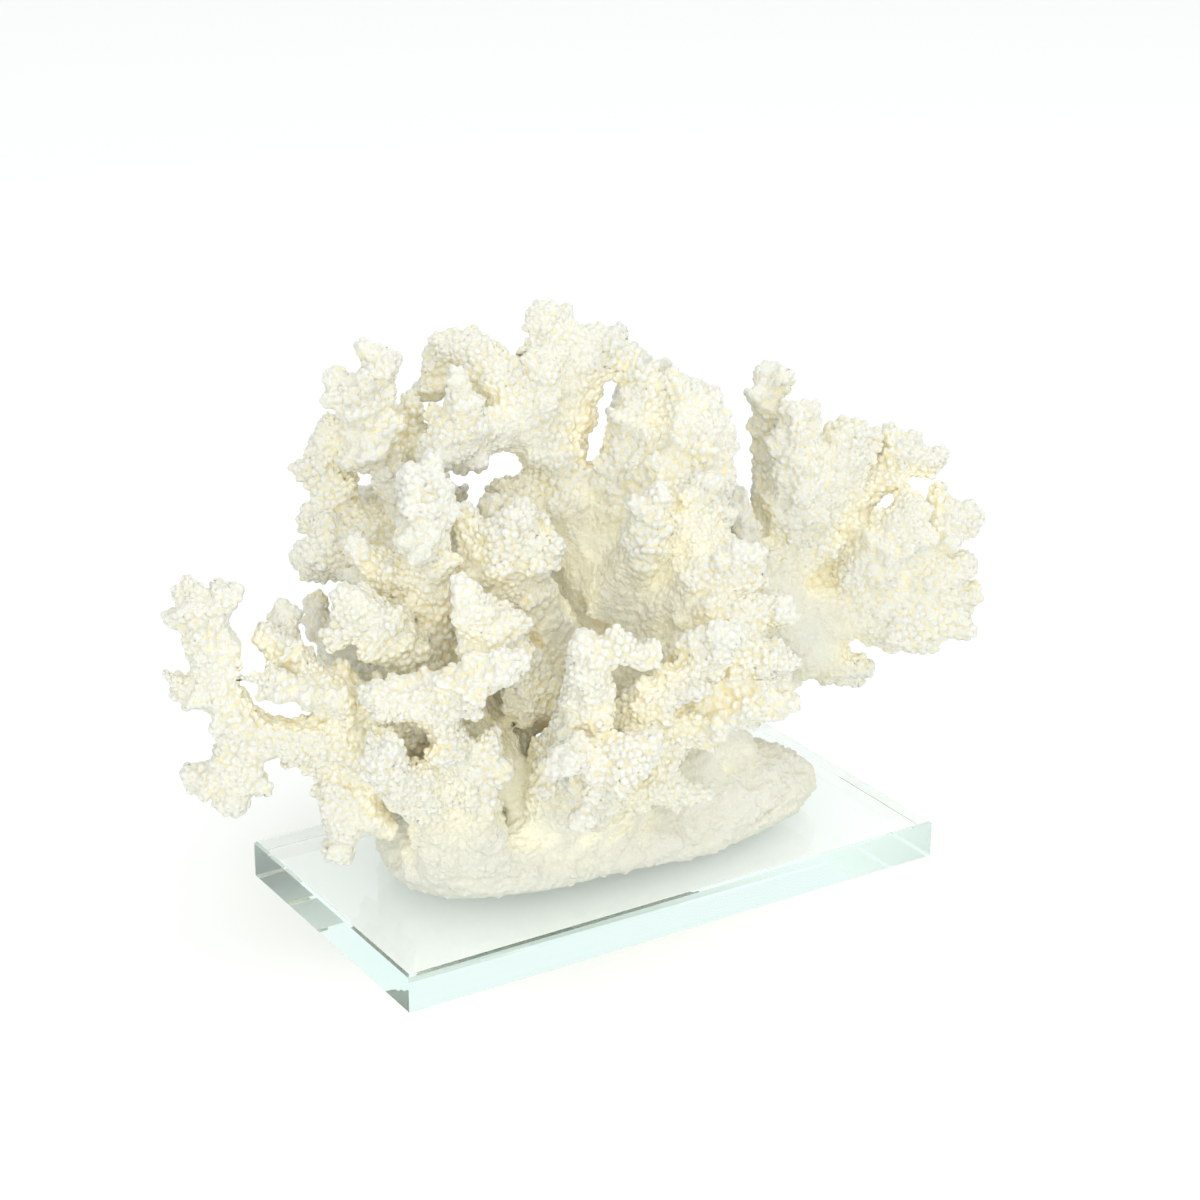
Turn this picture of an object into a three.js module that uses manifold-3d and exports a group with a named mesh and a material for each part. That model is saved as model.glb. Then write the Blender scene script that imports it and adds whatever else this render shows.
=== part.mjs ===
// A white branching coral on a clear glass slab, in millimetres, +Z up.
//
// The origin is the middle of the slab's underside. +X runs along the slab's long edge and +Y away
// from the coral's fuller side. The colony grew as one skeleton: a low crust foot, three trunks and
// the limbs that leave them. It is split at its main forks, so that every limb is a solid of its own.
import * as THREE from 'three';
import { mergeVertices } from 'three/addons/utils/BufferGeometryUtils.js';
import Module from 'manifold-3d';

const wasm = await Module();
wasm.setup();

// ---------------------------------------------------------------- driving dimensions

const SLAB = { length: 190, width: 102, thickness: 12.7, arris: 0.7 };

const GAP = 0.35; // clearance left where one solid is cut by another
const STAND_OFF = 0.3; // clearance between the foot and the slab

const FOOT_Z = SLAB.thickness + STAND_OFF;
const FOOT_HEIGHT = 27;
const FOOT_SEGMENTS = 24;
const FOOT_HALF_WIDTH = 34;
const FOOT_CENTRE = [-2, -4];

// The foot's plan, anticlockwise from its left end.
const FOOT_PLAN = [
  [-74, -3], [-69, -15], [-58, -24], [-38, -31], [-5, -34], [25, -36], [55, -31], [69, -23],
  [73, -14], [64, -2], [45, 14], [10, 26], [-35, 31], [-63, 26], [-72, 12],
];

// The foot's section: share of the plan's reach against share of the height.
const FOOT_SECTION = [
  [0.0, 0.0], [0.93, 0.0], [1.0, 0.25], [0.96, 0.5], [0.82, 0.74], [0.5, 0.94], [0.0, 1.0],
];

// A branch has more sides the thicker it is: up to this radius, this many sides.
const SIDES = [[6.6, 5], [Infinity, 6]];
const RING_PITCH = 4; // greatest distance between rings, in branch radii
const POINTED = 3.2; // up to this radius a tip is a plain cone
const ROOT_DEPTH = 0.6; // how far a branch's root cone reaches back, in branch radii

// Each limb is a list of branches. Each branch is its route from root to tip: [x, y, z, radius].
// A limb is cut back where it meets the foot or a limb that stands above it in this list.
const LIMBS = {
  trunk_middle: [
    [[0, -2, 24, 16], [2, -1, 56, 14], [5, 2, 84, 13], [4, 4, 104, 11.5]],
    [[-20, -12, 26, 14], [-12, -8, 48, 11], [0, -3, 66, 10]],
  ],
  trunk_left: [
    [[-28, -4, 24, 14], [-36, -6, 42, 11.5], [-47, -8, 57, 9.5]],
  ],
  trunk_right: [
    [[20, -10, 24, 14], [27, -12, 44, 12], [31, -10, 66, 11]],
    [[44, -14, 28, 9], [36, -13, 44, 8], [31, -11, 58, 8]],
  ],

  // the crown, above the middle trunk
  crown_left: [
    [[5, 2, 96, 11], [-2, 7, 114, 10.5], [-6, 11, 132, 9], [-12, 17, 147, 10.5], [-18, 24, 157, 8.5],
      [-25, 31, 167, 6], [-31, 37, 168.5, 5]],
    [[-12, 17, 150, 8], [-9, 15, 157, 6.5], [-9, 12, 163, 4.5]],
    [[-30, 37, 169, 5], [-32, 40, 161, 4.5], [-32, 42, 154, 3.5]],
  ],
  crown_left_arm: [
    [[-11, 15, 144, 7], [-30, 14, 147, 7], [-41, 14, 145, 7.5], [-46, 15, 142, 5.5]],
    [[-35, 16, 147, 5.5], [-38, 14, 155, 4.5], [-38, 15, 160, 4]],
  ],
  crown_nub: [
    [[-4, 11, 121, 7.5], [-15, 15, 126, 5], [-22, 18, 127, 4]],
    [[-8, 9, 116, 7], [-24, 9, 123, 4.5], [-32, 10, 125, 3.5]],
  ],
  crown_middle: [
    [[-2, 12, 124, 6.5], [1, 15, 142, 5], [2, 16, 152, 7], [5, 15, 163, 8.5], [7, 14, 168, 6.5]],
    [[7, 13, 165, 6], [13, 10, 166, 5]],
    [[9, 11, 162, 5.5], [15, 5, 163, 4]],
    [[1, 16, 163, 5.5], [-5, 17, 168, 4], [-11, 19, 169, 3]],
    [[1, 17, 168, 5], [-4, 20, 173, 5], [-6, 21, 177, 5.5]],
  ],
  crown_right: [
    [[4, 0, 88, 10.5], [7, -4, 105, 11], [11, -4, 123, 11.5], [13, -2, 142, 10], [15, -1, 154, 7.5],
      [16, -2, 160, 5.5]],
  ],
  crown_far_right: [
    [[6, -8, 100, 11], [15, -13, 122, 11.5], [24, -15, 136, 12], [27, -15, 147, 11], [26, -12, 154, 7],
      [26, -11, 157, 5]],
    [[28, -15, 141, 9], [33, -19, 143, 5.5]],
    [[27, -18, 127, 8], [32, -20, 132, 5.5], [32, -20, 137, 3.5]],
  ],
  crown_front: [
    [[0, -11, 94, 10.5], [2, -22, 112, 8], [0, -31, 129, 4.5], [1, -36, 138, 3]],
    [[6, -17, 100, 9.5], [15, -24, 117, 8.5], [18, -29, 132, 5]],
    [[18, -24, 114, 7], [26, -26, 121, 5.5]],
  ],

  // the limbs that lean out to the front
  front_right_top: [
    [[5, -12, 76, 11], [11, -30, 99, 10], [15, -41, 108, 9], [19, -48, 115, 6.5], [19, -50, 118, 5]],
    [[14, -29, 104, 7], [17, -32, 115, 5], [16, -33, 120, 3.5]],
    [[10, -40, 100, 8.5], [17, -53, 99, 6.5], [24, -60, 103, 3.5]],
    [[19, -46, 107, 6], [28, -46, 106, 4]],
  ],
  front_right: [
    [[0, -18, 66, 10.5], [7, -42, 87, 8], [15, -57, 92, 7.5], [23, -64, 90, 5], [26, -66, 90, 3.5]],
    [[2, -46, 86, 6], [-1, -63, 96, 4.5], [0, -68, 101, 3.5]],
  ],
  front_shelf: [
    [[-8, -22, 50, 9.5], [-4, -42, 68, 8], [7, -53, 73, 8.5], [19, -60, 77, 7.5], [25, -61, 74, 5.5]],
    [[14, -57, 76, 6], [24, -63, 82, 4.5]],
  ],
  front_middle: [
    [[-24, -18, 34, 14], [-29, -34, 60, 10.5], [-32, -46, 79, 7.5], [-34, -50, 92, 6.5],
      [-35, -49, 103, 3.5]],
    [[-33, -50, 96, 4.5], [-26, -55, 101, 5], [-20, -56, 97, 3.5], [-14, -56, 93, 3]],
    [[-21, -36, 62, 7.5], [-13, -51, 79, 6.5], [-7, -59, 88, 5], [-4, -61, 91, 3.5]],
  ],
  front_low: [
    [[-20, -29, 40, 10], [-33, -56, 66, 8], [-26, -64, 71, 6.5], [-21, -65, 75, 2.5]],
    [[-34, -57, 66, 6.5], [-44, -58, 70, 4], [-47, -56, 69, 2.5]],
    [[-33, -52, 61, 6], [-36, -53, 52, 4.5]],
  ],
  front_low_right: [
    [[-16, -38, 48, 8], [-9, -50, 50, 6], [-1, -54, 47, 4.5], [4, -55, 48, 2.5]],
    [[-9, -47, 52, 5], [-5, -50, 60, 3.5]],
  ],

  // the limbs that lean out to the left
  left_inner_top: [
    [[-13, -4, 74, 10.5], [-29, -8, 99, 9.5], [-38, -11, 114, 10], [-40, -18, 126, 7.5], [-38, -23, 133, 4.5]],
    [[-35, -18, 118, 7], [-32, -25, 122, 5], [-31, -28, 124, 3.5]],
    [[-37, -9, 107, 9], [-44, -6, 118, 7], [-46, -4, 127, 4]],
  ],
  left_inner_low: [
    [[-18, -8, 62, 9], [-41, -19, 86, 6.5], [-52, -26, 101, 9], [-60, -28, 112, 4.5], [-61, -27, 116, 3]],
    [[-51, -27, 102, 7.5], [-46, -31, 105, 4]],
    [[-33, -13, 68, 6], [-39, -17, 71, 3.5], [-43, -18, 74, 2.5]],
  ],
  left_middle: [
    [[-34, -2, 50, 10.5], [-44, 4, 73, 9], [-54, 1, 96, 7.5], [-60, -4, 115, 6.5], [-62, -7, 129, 6.5],
      [-62, -8, 138, 6], [-63, -8, 144, 4.5]],
  ],
  left_knuckle: [
    [[-49, 5, 84, 8], [-59, 9, 102, 7.5], [-69, 6, 114, 7.5], [-76, 7, 119, 4]],
  ],
  upper_left: [
    [[-38, 8, 84, 8], [-47, 17, 100, 7.5], [-53, 26, 110, 6.5], [-60, 35, 115, 6.5], [-66, 41, 120, 6.5],
      [-69, 43, 130, 5.5], [-69, 44, 140, 5.5], [-67, 42, 147, 5.5]],
    [[-61, 31, 113, 6.5], [-73, 30, 110, 7.5], [-78, 31, 112, 8]],
    [[-68, 39, 118, 5], [-77, 42, 120, 3.5]],
  ],
  upper_left_top: [
    [[-49, 22, 102, 6.5], [-52, 25, 121, 4.5], [-54, 28, 134, 5.5], [-59, 31, 144, 8.5], [-60, 32, 156, 7.5],
      [-57, 30, 165, 6], [-56, 29, 169, 4.5]],
    [[-61, 32, 157, 6], [-67, 36, 162, 4], [-70, 38, 165, 3]],
  ],
  upper_left_spike: [
    [[-44, 25, 102, 6], [-45, 32, 123, 4.5], [-44, 33, 137, 4], [-43, 36, 145, 3.5], [-42, 38, 154, 3]],
  ],
  left_blade: [
    [[-40, -7, 54, 9.5], [-55, -3, 72, 8], [-66, -4, 88, 7], [-75, -5, 99, 7.5], [-84, -5, 108, 6.5],
      [-87, -4, 112, 4.5]],
    [[-79, -5, 103, 6], [-87, -3, 101, 4], [-92, -2, 99, 2.5]],
  ],
  left_back_blade: [
    [[-43, 2, 56, 7.5], [-59, 19, 68, 6.5], [-71, 30, 78, 5.5], [-77, 36, 88, 4.5], [-77, 37, 95, 3.5]],
    [[-62, 22, 70, 5], [-66, 34, 74, 4], [-68, 41, 80, 3]],
  ],
  left_fan: [
    [[-46, -11, 57, 8], [-66, -11, 71, 6.5], [-81, -6, 77, 6], [-91, 0, 82, 5], [-99, 5, 90, 4.5],
      [-104, 11, 97, 4], [-106, 12, 99, 3.5]],
    [[-97, 9, 88, 4], [-97, 17, 95, 4], [-95, 19, 101, 3]],
    [[-88, -6, 79, 5], [-102, -4, 86, 4.5], [-116, 2, 91, 2.5]],
  ],
  far_left_arm: [
    [[-50, -9, 55, 8.5], [-72, -7, 64, 7.5], [-90, -2, 67, 7], [-105, 4, 69, 6.5], [-115, 8, 70, 6.5]],
    [[-113, 8, 69, 6], [-120, 11, 61, 5.5], [-126, 15, 56, 4.5]],
    [[-115, 8, 64, 6], [-119, 8, 53, 4.5]],
  ],
  far_left_spire: [
    [[-112, 7, 69, 6.5], [-121, 11, 83, 7], [-123, 11, 97, 7], [-125, 11, 108, 6], [-129, 12, 118, 4.5]],
    [[-124, 10, 104, 5], [-119, 6, 117, 2.5]],
    [[-122, 11, 83, 4], [-131, 13, 86, 2.5], [-137, 15, 93, 1.5]],
  ],
  low_left: [
    [[-58, -10, 50, 8], [-82, -5, 57, 7.5], [-90, -3, 48, 7.5], [-91, -5, 39, 6.5], [-91, -4, 35, 4]],
    [[-88, -4, 58, 5], [-96, 1, 58, 3.5]],
    [[-91, -2, 49, 4], [-97, 2, 50, 2]],
    [[-86, -5, 48, 6], [-81, -9, 42, 4.5], [-80, -9, 38, 3.5]],
  ],
  front_arm: [
    [[-52, -16, 42, 8], [-67, -26, 69, 6.5], [-71, -27, 82, 6.5], [-81, -25, 85, 6], [-87, -21, 87, 5]],
    [[-71, -29, 84, 6.5], [-64, -35, 91, 6], [-57, -42, 98, 4]],
  ],
  front_fingers: [
    [[-59, -15, 26, 10], [-67, -19, 40, 7.5], [-76, -21, 52, 6], [-83, -24, 62, 5.5], [-89, -27, 71, 6]],
    [[-70, -22, 46, 5.5], [-76, -26, 60, 4], [-77, -28, 64, 3]],
  ],
  front_thumb: [
    [[-54, -18, 26, 10], [-58, -23, 46, 8.5], [-61, -25, 62, 6], [-64, -25, 71, 4]],
    [[-57, -24, 46, 6.5], [-56, -29, 62, 4.5], [-55, -31, 71, 3.5]],
  ],

  // the limbs that lean out to the right
  right_upper: [
    [[28, -9, 70, 10], [51, -8, 84, 10], [69, -3, 92, 11], [79, -5, 100, 11], [88, -8, 104, 6]],
    [[63, 1, 97, 5.5], [64, 1, 117, 4.5], [64, 2, 134, 4], [64, 0, 145, 5], [64, 0, 149, 5]],
    [[72, -5, 99, 9.5], [69, -9, 120, 9], [67, -11, 134, 7], [66, -12, 140, 5.5]],
    [[59, -4, 94, 5], [51, -6, 106, 4], [47, -6, 119, 2.5]],
  ],
  right_crown: [
    [[78, -3, 97, 11], [82, -9, 118, 10], [86, -11, 129, 8.5], [87, -12, 132, 7]],
    [[88, -12, 126, 5.5], [94, -14, 131, 4]],
  ],
  right_finger: [
    [[87, -7, 101, 5.5], [93, -9, 109, 5], [100, -11, 117, 5.5], [106, -15, 124, 6.5]],
    [[107, -15, 121, 5], [116, -18, 122, 4]],
  ],
  right_lower: [
    [[58, -7, 81, 11], [74, -6, 76, 11], [88, -14, 76, 11], [99, -22, 74, 11.5], [110, -26, 71, 9.5],
      [115, -30, 70, 6.5]],
    [[89, -14, 83, 10.5], [96, -20, 95, 10], [99, -24, 104, 8.5], [101, -25, 109, 6]],
    [[90, -15, 80, 11], [104, -22, 84, 10], [114, -27, 86, 7], [120, -30, 88, 5]],
    [[112, -26, 75, 6], [120, -30, 76, 4]],
  ],
  right_lower_tip: [
    [[100, -20, 89, 8], [111, -25, 97, 5.5], [119, -27, 103, 4.5], [122, -29, 104, 4]],
    [[112, -24, 98, 4], [114, -24, 109, 3.5], [114, -24, 112, 2.5]],
  ],
  right_stump: [
    [[63, -5, 78, 11], [75, -9, 63, 10], [84, -13, 56, 6.5], [90, -16, 54, 3.5]],
    [[71, -9, 60, 7.5], [69, -9, 54, 4.5]],
  ],

  // the limbs that lean out to the back
  back_top: [
    [[12, 6, 104, 10], [34, 30, 124, 9.5], [42, 40, 138, 8], [44, 44, 146, 5.5]],
    [[34, 28, 122, 8], [45, 46, 127, 6.5], [48, 54, 135, 4]],
    [[36, 32, 126, 8], [52, 36, 130, 6], [58, 36, 137, 4]],
  ],
  back_left: [
    [[-6, 8, 74, 11], [-32, 33, 92, 10], [-43, 52, 108, 8.5], [-46, 57, 116, 5.5]],
    [[-28, 31, 92, 8], [-28, 47, 110, 6.5], [-26, 52, 120, 4.5]],
    [[-34, 37, 93, 8], [-27, 60, 95, 6], [-25, 68, 99, 4]],
  ],
  back_middle: [
    [[4, 10, 66, 12], [8, 40, 82, 11], [10, 59, 94, 8.5], [10, 65, 101, 5.5]],
    [[7, 42, 88, 8], [-9, 60, 92, 6.5], [-12, 66, 98, 4.5]],
    [[9, 44, 90, 8], [26, 60, 94, 6.5], [31, 64, 101, 4.5]],
    [[8, 46, 86, 7], [12, 66, 84, 5], [14, 73, 85, 3.5]],
  ],
  back_right: [
    [[24, -2, 56, 11], [43, 30, 72, 10], [60, 48, 84, 8.5], [65, 53, 92, 5.5]],
    [[46, 34, 76, 8], [48, 50, 92, 6], [49, 54, 101, 4]],
    [[45, 32, 75, 8], [66, 36, 88, 6.5], [71, 37, 96, 4.5]],
  ],
  back_low_left: [
    [[-22, 6, 34, 12], [-42, 34, 50, 10], [-54, 54, 60, 8], [-58, 60, 67, 5]],
    [[-40, 34, 52, 8], [-36, 56, 56, 6.5], [-35, 64, 62, 4.5]],
    [[-44, 36, 53, 8], [-62, 44, 64, 6.5], [-68, 46, 71, 4.5]],
  ],
  back_low_right: [
    [[10, 8, 32, 13], [24, 40, 44, 11], [32, 60, 53, 8.5], [34, 66, 60, 5.5]],
    [[22, 42, 45, 8], [12, 60, 50, 6.5], [9, 67, 56, 4.5]],
    [[27, 42, 46, 9], [48, 52, 54, 7], [54, 55, 61, 4.5]],
  ],
};

// ---------------------------------------------------------------- materials

const coral = () => new THREE.MeshStandardMaterial({ color: '#ece8d6', roughness: 0.95, metalness: 0 });

const glass = () => new THREE.MeshPhysicalMaterial({
  color: '#dff3ee',
  roughness: 0.05,
  metalness: 0,
  transmission: 0.9,
  ior: 1.52,
});

// ---------------------------------------------------------------- solids

/** A closed three.js geometry as a solid that can be joined and cut. */
function solidOf(geometry) {
  const bare = geometry.clone();
  bare.deleteAttribute('normal');
  bare.deleteAttribute('uv');
  const merged = mergeVertices(bare);
  const corners = merged.index.array;
  const kept = [];
  for (let i = 0; i < corners.length; i += 3) {
    const [a, b, c] = corners.slice(i, i + 3);
    const flat = a === b || b === c || c === a; // the lathe leaves such triangles at its poles
    if (!flat) kept.push(a, b, c);
  }
  return new wasm.Manifold(new wasm.Mesh({
    numProp: 3,
    vertProperties: new Float32Array(merged.attributes.position.array),
    triVerts: new Uint32Array(kept),
  }));
}

/** A solid as a named mesh with flat faces. */
function meshOf(name, solid, material) {
  const { vertProperties, triVerts } = solid.getMesh();
  const geometry = new THREE.BufferGeometry();
  geometry.setAttribute('position', new THREE.BufferAttribute(vertProperties, 3));
  geometry.setIndex(new THREE.BufferAttribute(triVerts, 1));
  const flat = geometry.toNonIndexed();
  flat.computeVertexNormals();
  const mesh = new THREE.Mesh(flat, material);
  mesh.name = name;
  return mesh;
}

/** The piece of a cut solid that holds most of it, without the crumbs. */
function largestPiece(solid) {
  const pieces = solid.decompose();
  pieces.sort((a, b) => b.volume() - a.volume());
  return pieces[0];
}

/**
 * The rings of a branch: centre, radius and a sideways pair of directions for each.
 * The route is a smooth curve through the points. The root ends in a low cone, out of sight inside
 * what it grows from, and the tip in a half ball. The sideways direction is carried along untwisted.
 */
function ringsAlong(points, swell) {
  const centres = points.map(([x, y, z]) => new THREE.Vector3(x, y, z));
  const route = new THREE.CatmullRomCurve3(centres, false, 'centripetal');
  const rings = [];
  const addRing = (t, ahead, share) => {
    const place = t * (points.length - 1);
    const before = Math.min(Math.floor(place), points.length - 2);
    const [r0, r1] = [points[before][3], points[before + 1][3]];
    const radius = THREE.MathUtils.lerp(r0, r1, place - before) + swell;
    const tangent = route.getTangent(t);
    const centre = route.getPoint(t).addScaledVector(tangent, ahead * radius);
    rings.push({ centre, tangent, radius: radius * share });
  };
  const capRing = Math.SQRT1_2; // a ring halfway round the tip's half ball, at 45 degrees
  addRing(0, -ROOT_DEPTH, 0);
  for (let i = 0; i < points.length - 1; i += 1) {
    const span = centres[i].distanceTo(centres[i + 1]);
    const steps = Math.max(1, Math.ceil(span / (RING_PITCH * Math.max(points[i][3], points[i + 1][3]))));
    for (let k = 0; k < steps; k += 1) addRing((i + k / steps) / (points.length - 1), 0, 1);
  }
  addRing(1, 0, 1);
  if (points.at(-1)[3] > POINTED) addRing(1, capRing, capRing);
  addRing(1, 1, 0);

  let side = new THREE.Vector3(0.31, 0.87, 0.38); // no branch runs this way
  for (const ring of rings) {
    side = side.clone().addScaledVector(ring.tangent, -side.dot(ring.tangent)).normalize();
    ring.side = side;
    ring.up = new THREE.Vector3().crossVectors(ring.tangent, side);
  }
  return rings;
}

/** One branch: a straight turned shape, bent along its route. */
function branch(points, swell) {
  const thickest = Math.max(...points.map(([, , , r]) => r));
  const [, sides] = SIDES.find(([radius]) => thickest <= radius);
  const equalArea = Math.sqrt((2 * Math.PI) / (sides * Math.sin((2 * Math.PI) / sides)));
  const rings = ringsAlong(points, swell);
  const turned = new THREE.LatheGeometry(rings.map(({ radius }, i) => new THREE.Vector2(radius, i)), sides);
  const position = turned.attributes.position;
  const v = new THREE.Vector3();
  for (let i = 0; i < position.count; i += 1) {
    const ring = rings[i % rings.length];
    v.fromBufferAttribute(position, i);
    const moved = ring.centre.clone()
      .addScaledVector(ring.side, v.z * equalArea)
      .addScaledVector(ring.up, v.x * equalArea);
    position.setXYZ(i, moved.x, moved.y, moved.z);
  }
  return solidOf(turned);
}

/** One limb: the union of its branches. */
function limb(branches, swell = 0) {
  return branches.map((points) => branch(points, swell)).reduce((all, one) => all.add(one));
}

/** The crust foot: a turned shape whose reach at each angle is taken from the plan. */
function foot(swell = 0) {
  const plan = new THREE.CatmullRomCurve3(
    FOOT_PLAN.map(([x, y]) => new THREE.Vector3(x, y, 0)),
    true,
    'centripetal',
  );
  const profile = FOOT_SECTION.map(([reach, height]) => new THREE.Vector2(reach, height));
  const turned = new THREE.LatheGeometry(profile, FOOT_SEGMENTS);
  const position = turned.attributes.position;
  const centre = new THREE.Vector3(FOOT_CENTRE[0], FOOT_CENTRE[1], FOOT_Z);
  for (let i = 0; i < position.count; i += 1) {
    const column = Math.floor(i / profile.length) % FOOT_SEGMENTS;
    const { x: reach, y: height } = profile[i % profile.length];
    const edge = plan.getPointAt(column / FOOT_SEGMENTS).setZ(FOOT_Z);
    const moved = centre.clone().lerp(edge, reach * (1 + swell / FOOT_HALF_WIDTH));
    moved.z += height * FOOT_HEIGHT + (height > 0 ? swell : -swell);
    position.setXYZ(i, moved.x, moved.y, moved.z);
  }
  return solidOf(turned);
}

/** The glass slab, with a fine arris along all its edges. */
function slab() {
  const { length, width, thickness, arris } = SLAB;
  const outline = new THREE.Shape();
  const halfX = length / 2 - arris;
  const halfY = width / 2 - arris;
  outline.moveTo(-halfX, -halfY);
  outline.lineTo(halfX, -halfY);
  outline.lineTo(halfX, halfY);
  outline.lineTo(-halfX, halfY);
  outline.closePath();
  const geometry = new THREE.ExtrudeGeometry(outline, {
    depth: thickness - 2 * arris,
    bevelEnabled: true,
    bevelThickness: arris,
    bevelSize: arris,
    bevelSegments: 1,
  });
  geometry.translate(0, 0, arris);
  return solidOf(geometry);
}

// ---------------------------------------------------------------- the object

const coralOnGlass = new THREE.Group();
coralOnGlass.add(meshOf('glass_slab', slab(), glass()));
coralOnGlass.add(meshOf('coral_foot', foot(), coral()));

const clearances = [foot(GAP)];
for (const [name, branches] of Object.entries(LIMBS)) {
  const whole = limb(branches);
  const cut = clearances.reduce((left, clearance) => left.subtract(clearance), whole);
  coralOnGlass.add(meshOf(name, largestPiece(cut), coral()));
  clearances.push(limb(branches, GAP));
}

export default coralOnGlass;
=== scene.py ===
# %% [markdown]
# # A white branching coral on a glass slab
#
# The real object is one grown skeleton: a low crust foot, three trunks and about forty limbs, all
# covered in small round knobs. It stands on a slab of clear glass whose edges look green.
#
# The frame gives every limb as a coarse solid with a clear gap to its neighbours. Blender's work is
# the skin. It could be sculpted limb by limb, but then each fork would show a seam. Here the limbs
# are fused into one skin first, the knobs grow over all of it, and only then is the skin divided
# again at the forks, so that every limb is still a piece of its own.

# %% Load the frame
import math

import bpy
import numpy as np
from mathutils import Euler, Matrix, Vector


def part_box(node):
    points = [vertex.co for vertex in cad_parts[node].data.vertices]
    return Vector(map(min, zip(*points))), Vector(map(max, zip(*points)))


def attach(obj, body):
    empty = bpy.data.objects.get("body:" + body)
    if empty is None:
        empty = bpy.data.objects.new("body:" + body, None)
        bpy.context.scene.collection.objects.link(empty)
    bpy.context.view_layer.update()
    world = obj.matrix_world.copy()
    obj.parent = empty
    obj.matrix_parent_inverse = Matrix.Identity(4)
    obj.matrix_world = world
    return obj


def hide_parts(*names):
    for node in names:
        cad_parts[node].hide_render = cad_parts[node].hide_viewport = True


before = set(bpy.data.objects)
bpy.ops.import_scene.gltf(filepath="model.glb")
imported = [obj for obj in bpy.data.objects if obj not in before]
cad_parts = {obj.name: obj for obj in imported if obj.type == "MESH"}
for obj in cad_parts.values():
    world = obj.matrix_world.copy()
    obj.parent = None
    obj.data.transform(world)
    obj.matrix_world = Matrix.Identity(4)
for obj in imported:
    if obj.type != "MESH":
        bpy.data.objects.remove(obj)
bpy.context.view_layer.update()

MM = 0.001
GLASS_NODE = "glass_slab"
limb_names = sorted(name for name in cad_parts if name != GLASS_NODE)
slab_low, slab_high = (np.array(corner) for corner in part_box(GLASS_NODE))
print(len(limb_names), "coral pieces; the slab is", np.round((slab_high - slab_low) / MM, 1), "mm")

# %% [markdown]
# ## Reading and writing meshes as arrays
#
# A mesh can be edited point by point, but this skin has about 770,000 points. numpy moves them all
# at once, so the mesh is read into arrays, worked on there and written back with foreach_set.

# %% Mesh helpers
def vectors(collection, attribute, width, kind=np.float64):
    """The named attribute of every element, as an array with one row of the given width each."""
    flat = np.empty(len(collection) * width, kind)
    collection.foreach_get(attribute, flat)
    return flat.reshape(-1, width) if width > 1 else flat


def build_mesh(name, points, corner_points, face_sizes):
    """A mesh from points, the point number at every face corner, and every face's corner count."""
    mesh = bpy.data.meshes.new(name)
    mesh.vertices.add(len(points))
    mesh.vertices.foreach_set("co", points.astype(np.float32).ravel())
    mesh.loops.add(len(corner_points))
    mesh.loops.foreach_set("vertex_index", corner_points.astype(np.int32))
    mesh.polygons.add(len(face_sizes))
    mesh.polygons.foreach_set("loop_start", (np.cumsum(face_sizes) - face_sizes).astype(np.int32))
    mesh.polygons.foreach_set("use_smooth", np.ones(len(face_sizes), bool))
    mesh.update(calc_edges=True)
    mesh.validate()
    return mesh


def put_in_scene(name, mesh):
    """An object at the origin that shows the mesh."""
    piece = bpy.data.objects.new(name, mesh)
    bpy.context.scene.collection.objects.link(piece)
    return piece


def finished_mesh(piece):
    """A copy of the piece's mesh with its modifiers applied."""
    seen = piece.evaluated_get(bpy.context.evaluated_depsgraph_get())
    return bpy.data.meshes.new_from_object(seen)


# %% [markdown]
# ## One coarse skin
#
# The limbs' solids stop a third of a millimetre short of each other. Each copy is swollen by most of
# that gap, so the copies overlap, and a voxel remesh turns them into one closed skin.
# A boolean union would do it too, but it leaves long thin triangles that can't carry fine relief.

# %% Fuse the limbs
SWELL = 0.3 * MM
VOXEL = 1.1 * MM
SAME_POINT = 0.001 * MM


def merged_solid(node):
    """Points and triangles of a CAD node, with equal points merged."""
    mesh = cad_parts[node].data
    mesh.calc_loop_triangles()
    triangles = vectors(mesh.loop_triangles, "vertices", 3, np.int32)
    points = vectors(mesh.vertices, "co", 3)
    keys = np.round(points / SAME_POINT).astype(np.int64)
    _, first, same = np.unique(keys, axis=0, return_index=True, return_inverse=True)
    triangles = same.reshape(-1)[triangles]
    return points[first], triangles


def point_normals(points, triangles):
    """The outward direction at each point: the sum of its triangles' normals, made one unit long."""
    a, b, c = (points[triangles[:, k]] for k in range(3))
    across = np.cross(b - a, c - a)
    total = np.zeros_like(points)
    for k in range(3):
        np.add.at(total, triangles[:, k], across)
    return total / np.maximum(np.linalg.norm(total, axis=1, keepdims=True), 1e-12)


all_points, all_triangles, all_limbs = [], [], []
offset = 0
for number, name in enumerate(limb_names):
    points, triangles = merged_solid(name)
    points = points + SWELL * point_normals(points, triangles)
    all_points.append(points)
    all_triangles.append(triangles + offset)
    all_limbs.append(np.full(len(triangles), number, np.int32))
    offset += len(points)
solids_points = np.concatenate(all_points)
solids_triangles = np.concatenate(all_triangles)
triangle_sizes = np.full(len(solids_triangles), 3)
solids_mesh = build_mesh("solids", solids_points, solids_triangles.ravel(), triangle_sizes)
limb_attribute = solids_mesh.attributes.new("limb", "INT", "FACE")
limb_attribute.data.foreach_set("value", np.concatenate(all_limbs))
solids = put_in_scene("solids", solids_mesh)

fuse = solids.modifiers.new("fuse", "REMESH")
fuse.mode = "VOXEL"
fuse.voxel_size = VOXEL
coarse_mesh = finished_mesh(solids)
solids.modifiers.remove(fuse)
print("coarse skin:", len(coarse_mesh.vertices), "points,", len(coarse_mesh.polygons), "faces")


# %% [markdown]
# ## Round the limbs
#
# The solids have flat facets, and a real limb has none. Averaging each point with its neighbours
# rounds them, but it thins the limbs as well. So what the averaging took away is averaged too and
# given back: facets are gone after that, and limbs keep their thickness.

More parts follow.
